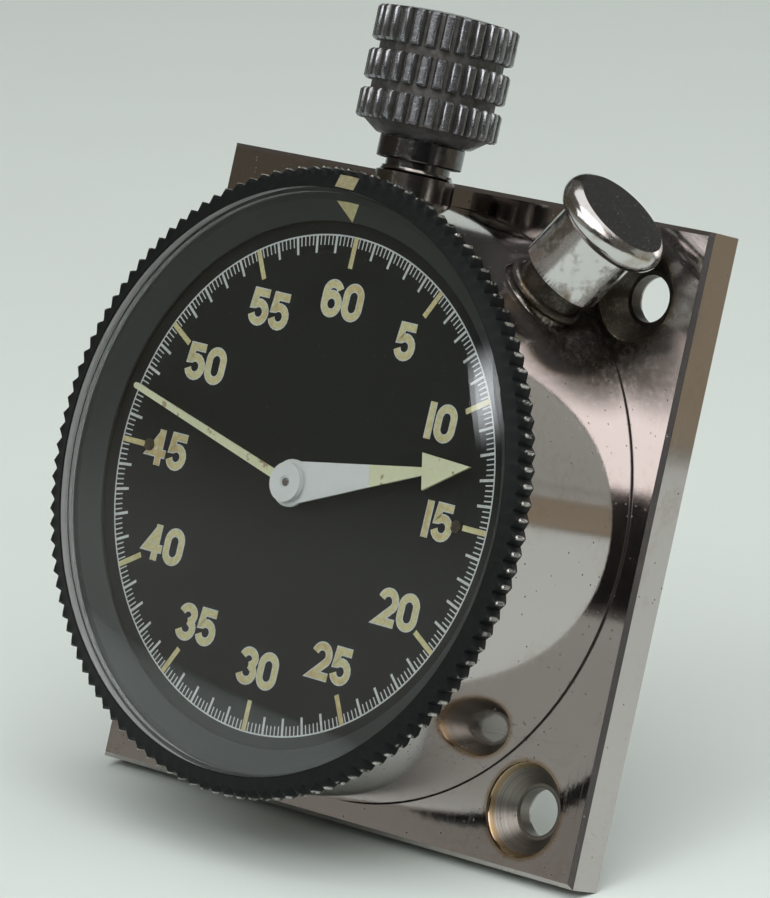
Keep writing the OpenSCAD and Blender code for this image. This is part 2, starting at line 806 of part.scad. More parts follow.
module bridge_screws() {
    color("steelblue") bench() {
        for (p = barrel_feet) at(p)
            slotted_screw(screw_head_r, screw_r, barrel_bridge_z - screw_head_t, screw_head_t, barrel_bridge_z + 3);
        for (p = train_feet) at(p)
            slotted_screw(screw_head_r, screw_r, train_bridge_z - screw_head_t, screw_head_t, train_bridge_z + 4);
        at(cock_foot) slotted_screw(screw_head_r, screw_r, cock_z - screw_head_t, screw_head_t, cock_z + 3);
        for (p = pallet_feet) at(p)
            slotted_screw(0.6, 0.3, pallet_cock_z - 0.3, 0.3, pallet_cock_z + 2);
        at(click_at) slotted_screw(0.8, 0.4, 4.9, 0.4, barrel_bridge_z + 0.8);
    }
}

module jewel(r, z0, z1) {
    difference() {
        disc(r, z0, z1);
        disc(pivot_r + run, z0 - 1, z1 + 1);
    }
}

module jewels() {
    color("crimson") bench() {
        for (p = [third_at, escape_at, pallet_at, balance_at]) at(p)
            jewel(jewel_r, plate_z0, plate_z0 + jewel_t);
        for (p = [[0, 0], third_at, escape_at]) at(p)
            jewel(jewel_r, train_bridge_z, train_bridge_z + train_bridge_t);
        at(balance_at) jewel(jewel_r, cock_z, cock_z + cock_t);
        at(pallet_at) jewel(jewel_r - 0.2, pallet_cock_z, pallet_cock_z + pallet_cock_t);
    }
}

module winding_pinion() {
    color("gray") bench() along(90) slab(winding_y) difference() {
        rotate(90) gap_to(0, winding_leaves) teeth(winding_leaves, winding_m, leaf_tooth);
        square(square_w + 2 * run, center = true);
    }
}

// Spur teeth turn the ratchet, and upright teeth take the drive of the winding pinion
module crown_wheel() {
    root_z = contrate_pitch_z - wheel_tooth[1] * winding_m;
    tip_z = contrate_pitch_z + leaf_tooth[0] * winding_m;
    tooth_w = 0.36 * 2 * PI * (contrate_r - contrate_w / 2) / contrate_teeth;
    color("goldenrod") bench() at(crown_wheel_at) {
        difference() {
            union() {
                slab([ratchet_z, ratchet_z + ratchet_t]) gap_to(ratchet_dir + 180, crown_wheel_teeth)
                    teeth(crown_wheel_teeth, ratchet_m, wheel_tooth);
                disc(contrate_r - gap, ratchet_z, root_z);
                disc(contrate_r + contrate_w / 2, ratchet_z + ratchet_t + gap, root_z);
            }
            disc(contrate_r - contrate_w / 2 - 0.4, ratchet_z + ratchet_t, 12);
            disc(post_r - 0.2 + run, 0, 12);
        }
        for (i = [0:contrate_teeth - 1]) rotate(90 + i * 360 / contrate_teeth)
            translate([contrate_r - contrate_w / 2 + 0.02, -tooth_w / 2, root_z - 0.1])
                cube([contrate_w - 0.04, tooth_w, tip_z - root_z + 0.1]);
    }
}

module crown_wheel_post() {
    color("steelblue") bench() at(crown_wheel_at) {
        disc(post_r, ratchet_z + ratchet_t + gap, plate_z0);
        disc(post_r - 0.2, ratchet_z - gap, ratchet_z + ratchet_t + gap);
        disc(1.6, 4.8, ratchet_z - gap);
    }
}

module ratchet_wheel() {
    color("goldenrod") bench() at(barrel_at) slab([ratchet_z, ratchet_z + ratchet_t]) difference() {
        rotate(ratchet_dir) teeth(ratchet_teeth, ratchet_m, wheel_tooth);
        square(square_w, center = true);
    }
}

module ratchet_screw() {
    color("steelblue") bench() at(barrel_at)
        slotted_screw(1.5, 0.4, 4.95, ratchet_z - 4.95, ratchet_z + 2);
}

// The pawl that holds the ratchet
module click() {
    beak_r = ratchet_m * (ratchet_teeth / 2 + wheel_tooth[0]) + gap + 0.2;
    color("gray") bench() slab([ratchet_z, ratchet_z + 0.5]) difference() {
        union() {
            at(click_at) circle(r = 0.9);
            bar(click_at, barrel_at + polar(beak_r + 0.1, 190), 0.5);
        }
        at(click_at) circle(r = 0.4 + run);
    }
}

module click_spring() {
    foot = click_at + [1, 5];
    color("steelblue") bench() {
        slab([ratchet_z, ratchet_z + 0.4]) bar(foot, click_at + [-0.3, 1.1], 0.25);
        at(foot) disc(0.4, ratchet_z, barrel_bridge_z);
    }
}

module barrel() {
    color("goldenrod") bench() at(barrel_at) difference() {
        union() {
            disc(barrel_wall_r, barrel_z[0], barrel_z[1]);
            slab(barrel_tooth_z) rotate(barrel_dir + 180) teeth(barrel_teeth, barrel_m, wheel_tooth);
        }
        disc(barrel_bore_r, 0, barrel_z[1] - 0.5);
        disc(barrel_arbor_r + run, 0, 30);
    }
}

module barrel_cover() {
    color("goldenrod") bench() at(barrel_at) difference() {
        disc(barrel_bore_r, barrel_z[0], barrel_z[0] + 0.4);
        disc(barrel_arbor_r + run, 0, 30);
    }
}

module barrel_arbor() {
    color("gray") bench() at(barrel_at) difference() {
        union() {
            disc(barrel_arbor_r, ratchet_z + ratchet_t + gap, plate_z0 + 1.4);
            disc(1.9, barrel_z[0] + 0.5, barrel_z[1] - 0.6);
            slab([ratchet_z, ratchet_z + ratchet_t + gap]) square(square_w, center = true);
        }
        disc(0.4, 0, ratchet_z + 2);
    }
}

module mainspring() {
    color("steelblue") bench() at(barrel_at) slab([barrel_z[0] + 0.55, barrel_z[1] - 0.65])
        spiral(2.3, barrel_bore_r - 0.12, 8, 0.2);
}

module minute_arbor() {
    top = minute_hand_z + minute_hand_t;
    color("gray") bench() difference() {
        union() {
            disc(minute_tube_r, centre_pinion_z[0] - gap, top);
            slab(centre_pinion_z) gap_to(barrel_dir, pinion_leaves) teeth(pinion_leaves, barrel_m, leaf_tooth);
        }
        disc(minute_bore_r, 0, 30);
    }
}

module centre_wheel() {
    color("goldenrod") bench() slab(centre_wheel_z) rotate(third_dir)
        spoked(centre_teeth, centre_m, minute_tube_r, 4);
}

module minute_heart() {
    color("gray") bench() slab(minute_heart_z) rotate(-6 * minutes_shown) heart(minute_tube_r);
}

module third_wheel() {
    color("goldenrod") bench() at(third_at) {
        arbor(0.35, train_bridge_z + 0.4, plate_z0 + 0.7, 0.9);
        slab(third_pinion_z) gap_to(third_dir + 180, pinion_leaves) teeth(pinion_leaves, centre_m, leaf_tooth);
        slab(third_wheel_z) rotate(third_dir + 180) spoked(third_teeth, third_m, 0.3, 5);
    }
}

module seconds_arbor() {
    top = seconds_hand_z + 0.4;
    color("gray") bench() {
        disc(pivot_r, train_bridge_z + 0.3, 4);
        disc(seconds_r, train_bridge_z + train_bridge_t + gap, top);
        slab(fourth_pinion_z) gap_to(third_dir, pinion_leaves) teeth(pinion_leaves, third_m, leaf_tooth);
    }
}

module fourth_wheel() {
    color("goldenrod") bench() slab(fourth_wheel_z) rotate(escape_dir)
        spoked(fourth_teeth, fourth_m, seconds_r, 4);
}

module seconds_heart() {
    color("gray") bench() slab(seconds_heart_z) rotate(-6 * seconds_shown) heart(seconds_r);
}

// Fifteen club teeth on an arbor with its pinion
module escape_wheel() {
    club_teeth = 15;
    root_r = 1.55;
    pitch = 360 / club_teeth;
    color("goldenrod") bench() at(escape_at) {
        arbor(0.25, train_bridge_z + 0.4, plate_z0 + 0.7, 0.9);
        slab(escape_pinion_z) gap_to(escape_dir + 180, escape_leaves)
            teeth(escape_leaves, fourth_m, leaf_tooth);
        slab(escape_wheel_z) difference() {
            polygon([for (i = [0:club_teeth - 1]) for (c = [[0, root_r], [0.2, escape_r - 0.2],
                [0.35, escape_r], [0.5, escape_r - 0.05], [0.4, root_r]]) polar(c[1], (i + c[0]) * pitch)]);
            difference() {
                circle(r = 1.2);
                circle(r = 0.55);
                for (a = [0:90:270]) rotate(a) translate([0, -0.15]) square([1.4, 0.3]);
            }
        }
    }
}

// Two pallet arms over the escape wheel and a fork towards the balance
module pallet_lever() {
    stone_r = escape_r + 0.45;
    fork = pallet_at + polar(2.4, lever_dir);
    color("gray") bench() {
        at(pallet_at) arbor(0.3, pallet_cock_z + 0.1, plate_z0 + 0.6, 0.65);
        slab(pallet_z) {
            at(pallet_at) circle(r = 0.34);
            for (side = [-1, 1]) bar(pallet_at, escape_at + polar(stone_r, lever_dir + 32 * side), 0.26);
            bar(pallet_at, fork, 0.3);
            for (side = [-1, 1]) bar(fork, fork + polar(0.55, lever_dir + 30 * side), 0.2);
        }
    }
}

module balance_wheel() {
    rim_z = [7.2, 8.2];
    rim_t = 0.8;
    color("goldenrod") bench() at(balance_at) slab(rim_z) {
        difference() {
            circle(r = balance_r);
            circle(r = balance_r - rim_t);
        }
        difference() {
            union() {
                circle(r = 1);
                translate([-balance_r + 0.4, -0.4]) square([2 * balance_r - 0.8, 0.8]);
            }
            circle(r = staff_r);
        }
    }
}

// Staff with the hairspring's collet, and the roller with its impulse pin
module balance_staff() {
    roller_z = pallet_z[1] + 0.2;
    color("gray") bench() at(balance_at) {
        arbor(staff_r, cock_z + 0.5, plate_z0 + 0.7, 1);
        disc(0.8, 5.5, 6);
        disc(1.2, roller_z, roller_z + 0.3);
        rotate(lever_dir + 180) translate([0.9, 0, roller_z - 0.1]) cylinder(r = 0.15, h = 0.2, $fn = 24);
    }
}

module hairspring() {
    stud_r = 3.2;
    color("steelblue") bench() at(balance_at) rotate(bearing(balance_at, cock_foot)) {
        slab([5.6, 5.9]) spiral(0.95, stud_r, 7, 0.1);
        at([stud_r, 0]) disc(0.2, cock_z + cock_t, 5.95);
    }
}

// The arbor of both hammers, with the tail that the pusher's stem meets
module hammer_arbor() {
    color("gray") bench() {
        at(hammer_at) disc(0.6, train_bridge_z + 0.3, minute_heart_z[1]);
        slab(tail_z) {
            at(hammer_at) circle(r = 1.1);
            bar(hammer_at, tail_at, 1.2);
            at(tail_at) circle(r = 0.8);
        }
    }
}

// A hammer whose flat face stops just clear of the heart's point
module hammer() {
    face = heart_r[1] + gap + 0.1;
    head_w = 1.4;
    difference() {
        union() {
            at(hammer_at) {
                circle(r = 1.2);
                rotate(-hammer_turn) at(-hammer_at) {
                    translate([-2.4, face]) square([4.8, head_w]);
                    bar([2, face + head_w / 2], hammer_at, head_w);
                }
            }
        }
        at(hammer_at) circle(r = 0.6);
    }
}

module seconds_hammer() {
    color("gray") bench() slab(seconds_heart_z) hammer();
}

module minute_hammer() {
    color("gray") bench() slab(minute_heart_z) hammer();
}

module hammer_spring() {
    foot = [8.6, 7.6];
    color("steelblue") bench() {
        slab([tail_z[0] + 0.1, tail_z[1] - 0.1]) bar(foot, [10.4, 10.6], 0.25);
        at(foot) disc(0.5, tail_z[0], plate_z0);
    }
}

// An arm before the stem's end, on one arbor with the brake that stops the fourth wheel
module start_lever() {
    color("gray") bench() {
        at(start_at) disc(0.45, brake_z[0], plate_z0 + 0.9);
        slab(tail_z) {
            at(start_at) circle(r = 1);
            bar(start_at, start_tip, 0.6);
        }
        slab(brake_z) {
            at(start_at) circle(r = 1);
            bar(start_at, brake_at, 0.9);
            at(brake_at) circle(r = brake_r);
        }
    }
}

module start_spring() {
    foot = [6.8, 8.6];
    color("steelblue") bench() {
        slab([tail_z[0] + 0.1, tail_z[1] - 0.1]) bar(foot, [3.2, 12.2], 0.25);
        at(foot) disc(0.5, tail_z[0], plate_z0);
    }
}

case_body();
mounting_plate();
plate_screws();
case_back();
back_gasket();
crown_tube();
pusher_tube();
bezel_spring();
bezel();
bezel_marker();
flange_ring();
crystal();
dial();
dial_screws();
minute_hand();
seconds_hand();
crown();
winding_stem();
pusher();
pusher_stem();
pusher_spring();
mainplate();
movement_screws();
barrel_bridge();
train_bridge();
balance_cock();
pallet_cock();
bridge_screws();
jewels();
winding_pinion();
crown_wheel();
crown_wheel_post();
ratchet_wheel();
ratchet_screw();
click();
click_spring();
barrel();
barrel_cover();
barrel_arbor();
mainspring();
minute_arbor();
centre_wheel();
minute_heart();
third_wheel();
seconds_arbor();
fourth_wheel();
seconds_heart();
escape_wheel();
pallet_lever();
balance_wheel();
balance_staff();
hairspring();
hammer_arbor();
seconds_hammer();
minute_hammer();
hammer_spring();
start_lever();
start_spring();
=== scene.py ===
import json
import math

import bmesh
import bpy
from mathutils import Matrix, Vector


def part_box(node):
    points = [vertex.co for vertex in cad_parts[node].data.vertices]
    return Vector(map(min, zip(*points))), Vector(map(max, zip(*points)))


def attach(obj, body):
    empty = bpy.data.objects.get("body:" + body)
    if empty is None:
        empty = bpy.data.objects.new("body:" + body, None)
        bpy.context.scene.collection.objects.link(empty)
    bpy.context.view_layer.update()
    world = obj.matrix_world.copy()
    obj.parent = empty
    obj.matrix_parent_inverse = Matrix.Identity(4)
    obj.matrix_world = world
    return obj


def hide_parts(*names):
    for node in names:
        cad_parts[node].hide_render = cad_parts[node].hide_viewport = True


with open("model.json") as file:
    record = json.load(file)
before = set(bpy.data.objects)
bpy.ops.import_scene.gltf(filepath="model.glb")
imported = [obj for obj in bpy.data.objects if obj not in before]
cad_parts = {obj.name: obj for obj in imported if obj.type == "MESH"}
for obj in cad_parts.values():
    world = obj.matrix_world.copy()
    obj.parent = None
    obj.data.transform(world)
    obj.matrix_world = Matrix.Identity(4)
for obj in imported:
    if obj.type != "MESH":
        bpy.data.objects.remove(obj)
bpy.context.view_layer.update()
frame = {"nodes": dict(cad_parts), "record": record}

# Sizes are in millimetres, right and up from the dial's centre and out from the plate's back.
# MM makes them metres.
MM = 0.001
DIAL_RISE = 0.5  # the dial's centre over the frame's origin
DIAL_FACE = 15.9
TRACK_R = 22.1
NUMERAL_R = 16.5
PRINT_TURN = 1.06  # degrees clockwise
MINUTES_SHOWN = 12.7
SECONDS_SHOWN = 47.45
BARREL_R = 26.9
PLATE_EDGE = 29
PLATE_FACE = 3.6
HOLE_X, HOLE_Y = 21.95, 22.9  # the corner holes, from the plate's middle
CROWN_DEPTH = 10.3
PUSHER_FOOT = (20.2, 21, 7.5)  # right, up and out
PUSHER_LEAN = math.radians(40)
PUSHER_HEAD = 34.6  # the head's underside, along the pusher
PLATE_LEAN = math.radians(17.8)  # the plate leans back so far on its floor
SHARP_FROM = math.radians(32)
SAME_POINT = 0.0002  # points that lie nearer than this are one


def on_dial(x, up, depth):
    """A point given from the dial's centre, up the dial and out from the plate's back, in scene metres."""
    return Vector((x * MM, -depth * MM, (up + DIAL_RISE) * MM))


def clock(radius, minutes, turn=0.0):
    """A point on the dial at that minute, as (right, up)."""
    a = math.radians(90 - 6 * minutes - turn)
    return radius * math.cos(a), radius * math.sin(a)


def colour(value):
    return (*value, 1.0) if isinstance(value, tuple) and len(value) == 3 else value


def add_node(tree, kind, settings, sockets):
    """A new node with those settings, its inputs linked to wires and sockets or set to values."""
    made = tree.nodes.new(kind)
    for name, value in (settings or {}).items():
        setattr(made, name, value)
    for name, value in (sockets or {}).items():
        source = value.socket if isinstance(value, Wire) else value
        if isinstance(source, bpy.types.NodeSocket):
            tree.links.new(source, made.inputs[name])
        else:
            made.inputs[name].default_value = source
    return made


class Wire:
    """A shader value. Sums and products of wires add their Math nodes."""

    def __init__(self, paint, socket):
        self.paint = paint
        self.socket = socket

    def maths(self, operation, *values):
        return self.paint.node("ShaderNodeMath", {"operation": operation}, dict(enumerate(values)))

    def __add__(self, other):
        return self.maths("ADD", self, other)

    def __sub__(self, other):
        return self.maths("SUBTRACT", self, other)

    def __rsub__(self, other):
        return self.maths("SUBTRACT", other, self)

    def __mul__(self, other):
        return self.maths("MULTIPLY", self, other)

    __radd__ = __add__
    __rmul__ = __mul__

    def root(self):
        return self.maths("SQRT", self)

    def size(self):
        return self.maths("ABSOLUTE", self)

    def most(self, other):
        return self.maths("MAXIMUM", self, other)

    def least(self, other):
        return self.maths("MINIMUM", self, other)

    def rise(self, low, high):
        """0 below low, 1 above high and smooth between."""
        return self.paint.node("ShaderNodeMapRange", {"interpolation_type": "SMOOTHSTEP"}, {
            "Value": self, "From Min": low, "From Max": high})


class Paint:
    """A material and the nodes behind its sockets. Its place is in millimetres from the dial's centre."""

    def __init__(self, name):
        self.material = bpy.data.materials.new(name)
        self.material.use_nodes = True
        self.tree = self.material.node_tree
        self.shader = self.tree.nodes["Principled BSDF"]
        self.place = self.node("ShaderNodeMapping", {}, {
            "Vector": self.node("ShaderNodeTexCoord", out="Object"), "Location": (0, 0, -DIAL_RISE),
            "Scale": (1 / MM, 1 / MM, 1 / MM)})
        axes = self.tree.nodes.new("ShaderNodeSeparateXYZ")
        self.tree.links.new(self.place.socket, axes.inputs[0])
        self.across, back, self.up = (Wire(self, s) for s in axes.outputs)
        self.depth = 0 - back

    def node(self, kind, settings=None, sockets=None, out=0):
        return Wire(self, add_node(self.tree, kind, settings, sockets).outputs[out])

    def noise(self, scale, detail=3.0, stretch=(1, 1, 1), turn=(0, 0, 0), rough=0.5):
        """Cloudy noise with that many lumps to the millimetre."""
        place = self.node("ShaderNodeMapping", {}, {
            "Vector": self.place, "Rotation": turn, "Scale": stretch})
        return self.node("ShaderNodeTexNoise", {}, {
            "Vector": place, "Scale": scale, "Detail": detail, "Roughness": rough})

    def rings(self, distance, scale):
        """Noise that changes with that distance alone, as turning marks do."""
        return self.node("ShaderNodeTexNoise", {"noise_dimensions": "1D"}, {
            "W": distance, "Scale": scale, "Detail": 3.0})

    def specks(self, scale, size):
        """Round specks, one to a cell, as a mask."""
        far = self.node("ShaderNodeTexVoronoi", {}, {"Vector": self.place, "Scale": scale})
        return 1 - far.rise(size * 0.6, size)

    def radius(self):
        return (self.across * self.across + self.up * self.up).root()

    def corner(self, across, up):
        """Distance from the nearest of four places about the plate's middle, seen from the front."""
        x = self.across.size() - across
        y = (self.up + DIAL_RISE).size() - up
        return (x * x + y * y).root()

    def near(self, spot):
        """Distance from a place given as (right, up, depth)."""
        x, y, z = self.across - spot[0], self.up - spot[1], self.depth - spot[2]
        return (x * x + y * y + z * z).root()

    def mix(self, share, low, high):
        """A colour between two colours."""
        return self.node("ShaderNodeMix", {"data_type": "RGBA"}, {
            0: share, 6: colour(low), 7: colour(high)}, out=2)

    def bump(self, height, deep):
        """Relief of that many millimetres."""
        return self.node("ShaderNodeBump", {}, {"Height": height, "Strength": 1.0, "Distance": deep * MM})

    def finish(self, **sockets):
        """Sets the shader's sockets and returns the material."""
        for name, value in sockets.items():
            socket = self.shader.inputs[name.replace("_", " ")]
            if isinstance(value, Wire):
                self.tree.links.new(value.socket, socket)
            else:
                socket.default_value = colour(value)
        return self.material


def aged_nickel():
    """Worn mirror plating: grime at the barrel's foot, brown rims on the holes, and a dark patch round the
    pusher that is partly dirt and partly painted dark reflection.
    """
    p = Paint("aged_nickel")
    cloud = p.noise(0.11, 4)
    grain = p.noise(1.3, 5, rough=0.62)
    fine = p.noise(7, 2)
    specked = p.noise(4, 5, rough=0.7)
    hairs = p.noise(0.6, 4, stretch=(9, 9, 0.5), turn=(0, 0.7, 0)).rise(0.62, 0.7)
    tarnish = (cloud * 0.6 + grain * 0.4).rise(0.52, 0.7)

    holes = p.corner(HOLE_X, HOLE_Y)
    front = p.depth.rise(0.05, 0.3)
    turned = p.rings(holes, 7)
    sunk = front * (1 - holes.rise(4.05, 4.2))
    brown_rim = front * holes.rise(3.7, 4.0) * (1 - holes.rise(4.25, 4.7)) * (0.3 + grain).least(1)
    around = 1 - holes.rise(4, 9)
    pits = p.specks(0.9, 0.09).most(p.specks(1.7, 0.16) * around * cloud.rise(0.4, 0.55))

    foot = (1 - (p.radius() - BARREL_R).size().rise(0.03, 0.14)) * (1 - p.depth.rise(3.7, 3.95))
    patchy = (cloud * 0.3 + grain * 0.5 + specked * 0.6).rise(0.35, 0.75)
    # Round the pusher's foot the plating is darkened: partly dirt, partly a painted dark reflection
    grime_and_dark_reflection = front * (1 - p.near(PUSHER_FOOT).rise(5.5, 11)) * patchy
    side = p.across.size()
    worn = side.rise(PLATE_EDGE - 0.42, PLATE_EDGE - 0.36) * (1 - side.rise(PLATE_EDGE - 0.03, PLATE_EDGE))

    tone = p.mix(tarnish * 0.35, (0.5, 0.462, 0.45), (0.37, 0.31, 0.255))
    tone = p.mix(sunk * (0.55 + turned * 0.5), tone, (0.12, 0.11, 0.09))
    tone = p.mix(brown_rim * 0.85, tone, (0.28, 0.18, 0.07))
    # Painted dark reflection mixed with dirt round the pusher, and a dark line at the barrel's foot
    tone = p.mix(grime_and_dark_reflection.most(foot * 0.8), tone, (0.045, 0.037, 0.026))
    dull = (pits * 0.3).most(grime_and_dark_reflection * 0.1).most(sunk * 0.3).most(foot * 0.4).most(worn * 0.1)
    return p.finish(
        Base_Color=p.mix(pits * 0.75, tone, (0.05, 0.04, 0.03)),
        Metallic=1 - (grime_and_dark_reflection * 0.25).most(worn * 0.08),
        Roughness=0.055 + fine * 0.05 + tarnish * 0.05 + hairs * 0.05 + dull,
        Normal=p.bump(grain * 0.2 + hairs * 0.1 - pits + sunk * turned * 2 + fine * 0.1, 0.01))


def crown_nickel():
    """Dark nickel, with dirt packed between the ribs and between the bands."""
    p = Paint("crown_nickel")
    low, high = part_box("crown")
    top = (high.x - low.x) / 2 / MM
    inward = p.depth - CROWN_DEPTH
    radius = (p.across * p.across + inward * inward).root()
    grain = p.noise(1.6, 4)
    skirt = 1 - p.up.rise(31.6, 31.9)
    scuffs = p.noise(5, 3).rise(0.55, 0.7) * (1 - skirt * 0.8)
    packed = (1 - radius.rise(top - 0.55, top - 0.2)) * p.up.rise(31.6, 32.9) * (1 - p.up.rise(42.7, 42.95))
    dirt = (packed * (0.5 + grain * 0.8)).least(1)
    tone = p.mix(grain.rise(0.4, 0.7) * 0.7, (0.26, 0.265, 0.28), (0.15, 0.145, 0.14))
    tone = p.mix((skirt * 0.6).most(scuffs * 0.35), tone, (0.05, 0.045, 0.04))
    return p.finish(
        Base_Color=p.mix(dirt * 0.9, tone, (0.042, 0.037, 0.027)),
        Metallic=1 - dirt * 0.6,
        Roughness=0.22 + grain * 0.12 + scuffs * 0.1 + dirt * 0.3 - skirt * 0.12,
        Normal=p.bump(grain - scuffs * 0.3, 0.02))


def pusher_nickel():
    """Polished nickel with fine scuffs, and brown dirt up the sleeve."""
    p = Paint("pusher_nickel")
    grain = p.noise(1.2, 5)
    cloud = p.noise(0.35, 3)
    tarnish = cloud.rise(0.5, 0.7)
    scuffs = p.noise(6, 4, rough=0.7).rise(0.55, 0.7)
    along = p.across * math.sin(PUSHER_LEAN) + p.up * math.cos(PUSHER_LEAN)
    sleeve = 1 - along.rise(PUSHER_HEAD - 0.3, PUSHER_HEAD + 0.2)
    dirt = sleeve * (cloud * 0.6 + grain * 0.6).rise(0.52, 0.8)
    tone = p.mix(tarnish * 0.6, (0.6, 0.59, 0.58), (0.38, 0.32, 0.26))
    return p.finish(
        Base_Color=p.mix(dirt * 0.8, tone, (0.14, 0.1, 0.065)),
        Metallic=1 - dirt * 0.4,
        Roughness=0.09 + grain * 0.1 + tarnish * 0.12 + dirt * 0.25 + scuffs * 0.16,
        Normal=p.bump(grain, 0.006))


def worn_black():
    """Satin black on the turning ring, rubbed to metal along the crests of its coin edge."""
    p = Paint("worn_black")
    low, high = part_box("bezel")
    top = (high.x - low.x) / 2 / MM
    grain = p.noise(2.2, 4)
    rub = p.noise(0.7, 3)
    bare = p.radius().rise(top - 0.22, top - 0.08) * (rub * 0.7 + grain * 0.5).rise(0.5, 0.64)
    black = p.mix(grain, (0.006, 0.007, 0.007), (0.014, 0.015, 0.015))
    return p.finish(
        Base_Color=p.mix(bare, black, (0.5, 0.49, 0.46)),
        Metallic=bare,
        Roughness=0.34 + grain * 0.2 - bare * 0.2,
        Specular_IOR_Level=0.1,
        Normal=p.bump(grain, 0.01))


def flange_black():
    p = Paint("flange_black")
    grain = p.noise(3, 3)
    return p.finish(
        Base_Color=p.mix(grain, (0.034, 0.044, 0.043), (0.044, 0.056, 0.055)),
        Roughness=0.42 + grain * 0.15,
        Specular_IOR_Level=0.3,
        Normal=p.bump(grain, 0.004))


def dial_black():
    """Matt black paint with dust on it."""
    p = Paint("dial_black")
    grain = p.noise(6, 3)
    dust = p.specks(1.5, 0.075) * p.noise(0.5, 2).rise(0.45, 0.58)
    tone = p.mix(grain, (0.012, 0.016, 0.0155), (0.018, 0.023, 0.0225))
    return p.finish(
        Base_Color=p.mix(dust * 0.6, tone, (0.25, 0.25, 0.23)),
        Roughness=0.5 + grain * 0.15,
        Specular_IOR_Level=0.12,
        Normal=p.bump(grain, 0.0005))


def clear_acrylic():
    p = Paint("clear_acrylic")
    hairs = p.noise(0.35, 5, stretch=(6, 6, 0.4), turn=(0, 0.9, 0)).rise(0.66, 0.72)
    return p.finish(Base_Color=(1.0, 1.0, 1.0), Roughness=hairs * 0.04, IOR=1.49, Transmission_Weight=1.0)


def ink(name, light, dark, stain=None):
    """Printed paint, browned in patches where a stain is given."""
    p = Paint(name)
    grain = p.noise(4, 4)
    tone = p.mix(grain.rise(0.35, 0.7), light, dark)
    if stain:
        patches = (p.noise(0.16, 2) * 0.6 + p.noise(1.5, 3) * 0.4).rise(0.47, 0.66)
        tone = p.mix(patches * 0.75, tone, stain)
    return p.finish(Base_Color=tone, Roughness=0.6 + grain * 0.1, Normal=p.bump(grain, 0.006))


def hand_paint(name, minutes, lume_from, boss):
    """White paint, with cream luminous paint further out than lume_from and rust at its edges."""
    p = Paint(name)
    right, up = clock(1, minutes)
    along = p.across * right + p.up * up
    grain = p.noise(3, 4)
    lume = along.rise(lume_from - 0.05, lume_from + 0.05) * p.radius().rise(boss - 0.02, boss + 0.02)
    rust = p.noise(1.1, 4).rise(0.6, 0.68) * lume
    white = p.mix(grain, (0.9, 0.95, 0.94), (0.82, 0.87, 0.86))
    cream = p.mix(grain, (0.88, 0.93, 0.66), (0.79, 0.82, 0.53))
    return p.finish(
        Base_Color=p.mix(rust * 0.7, p.mix(lume, white, cream), (0.3, 0.15, 0.05)),
        Roughness=0.42 + lume * 0.25,
        Normal=p.bump(grain * (0.3 + lume), 0.012))


def metal(name, light, dark, rough, stretch=(1, 1, 1), scale=1.5):
    p = Paint(name)
    grain = p.noise(scale, 4, stretch=stretch)
    return p.finish(
        Base_Color=p.mix(grain, light, dark),
        Metallic=1.0,
        Roughness=rough + grain * 0.15,
        Normal=p.bump(grain, 0.008))


def stone(name, light, dark, rough):
    p = Paint(name)
    grain = p.noise(2, 3)
    return p.finish(
        Base_Color=p.mix(grain, light, dark),
        Roughness=rough + grain * 0.1,
        Normal=p.bump(grain, 0.004))


finishes = {
    "nickel": aged_nickel(),
    "back_steel": metal("brushed_back", (0.6, 0.6, 0.59), (0.45, 0.44, 0.42), 0.24, stretch=(0.15, 1, 4)),
    "black_metal": worn_black(),
    "cream": ink("lume_cream", (0.78, 0.76, 0.43), (0.68, 0.64, 0.33), (0.6, 0.45, 0.19)),
    "acrylic": clear_acrylic(),
    "dial_black": dial_black(),
    "rubber": stone("gasket_rubber", (0.03, 0.03, 0.03), (0.02, 0.02, 0.02), 0.7),
    "steel": metal("polished_steel", (0.56, 0.56, 0.56), (0.44, 0.43, 0.42), 0.18),
    "blue_steel": metal("blued_steel", (0.1, 0.14, 0.34), (0.07, 0.08, 0.2), 0.22),
    "gilt": metal("frosted_gilt", (0.68, 0.56, 0.33), (0.56, 0.44, 0.24), 0.34, scale=5),
    "brass": metal("grained_brass", (0.74, 0.58, 0.28), (0.6, 0.45, 0.19), 0.25),
    "ruby": stone("ruby", (0.5, 0.03, 0.09), (0.35, 0.015, 0.05), 0.1),
}
own_finish = {
    "crown": crown_nickel(),
    "pusher": pusher_nickel(),
    "crown_tube": metal("aged_tube", (0.24, 0.23, 0.215), (0.12, 0.1, 0.085), 0.1),
    "flange_ring": flange_black(),
    "bezel_marker": ink("marker_cream", (0.27, 0.245, 0.14), (0.2, 0.175, 0.1)),
    "dial_screws": metal("aged_screws", (0.2, 0.17, 0.13), (0.1, 0.085, 0.06), 0.35),
    "minute_hand": hand_paint("minute_hand_paint", MINUTES_SHOWN, 9.1, 0),
    "seconds_hand": hand_paint("seconds_hand_paint", SECONDS_SHOWN, 0, 1.76),
}
white_ink = ink("white_ink", (0.76, 0.82, 0.81), (0.64, 0.69, 0.68))
frosted_edge = stone("frosted_edge", (0.8, 0.83, 0.82), (0.72, 0.74, 0.73), 0.5)

for part in frame["record"]["subparts"]:
    node = frame["nodes"][part["node"]]
    node.data.materials.clear()
    node.data.materials.append(own_finish.get(part["node"]) or finishes[part["material_slot"]])


def piece(name, mesh, body, material, slot):
    """Puts a finished mesh in the scene as a piece of that body."""
    made = bpy.data.objects.new(name, mesh)
    bpy.context.scene.collection.objects.link(made)
    mesh.materials.clear()
    mesh.materials.append(material)
    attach(made, body)
    return made


def closed(name, bm, smooth=False):
    """The drawn solid as a mesh that faces outward."""
    bmesh.ops.recalc_face_normals(bm, faces=bm.faces)
    mesh = bpy.data.meshes.new(name)
    bm.to_mesh(mesh)
    bm.free()
    if smooth:
        mesh.shade_smooth()
        mesh.set_sharp_from_angle(angle=SHARP_FROM)
    return mesh


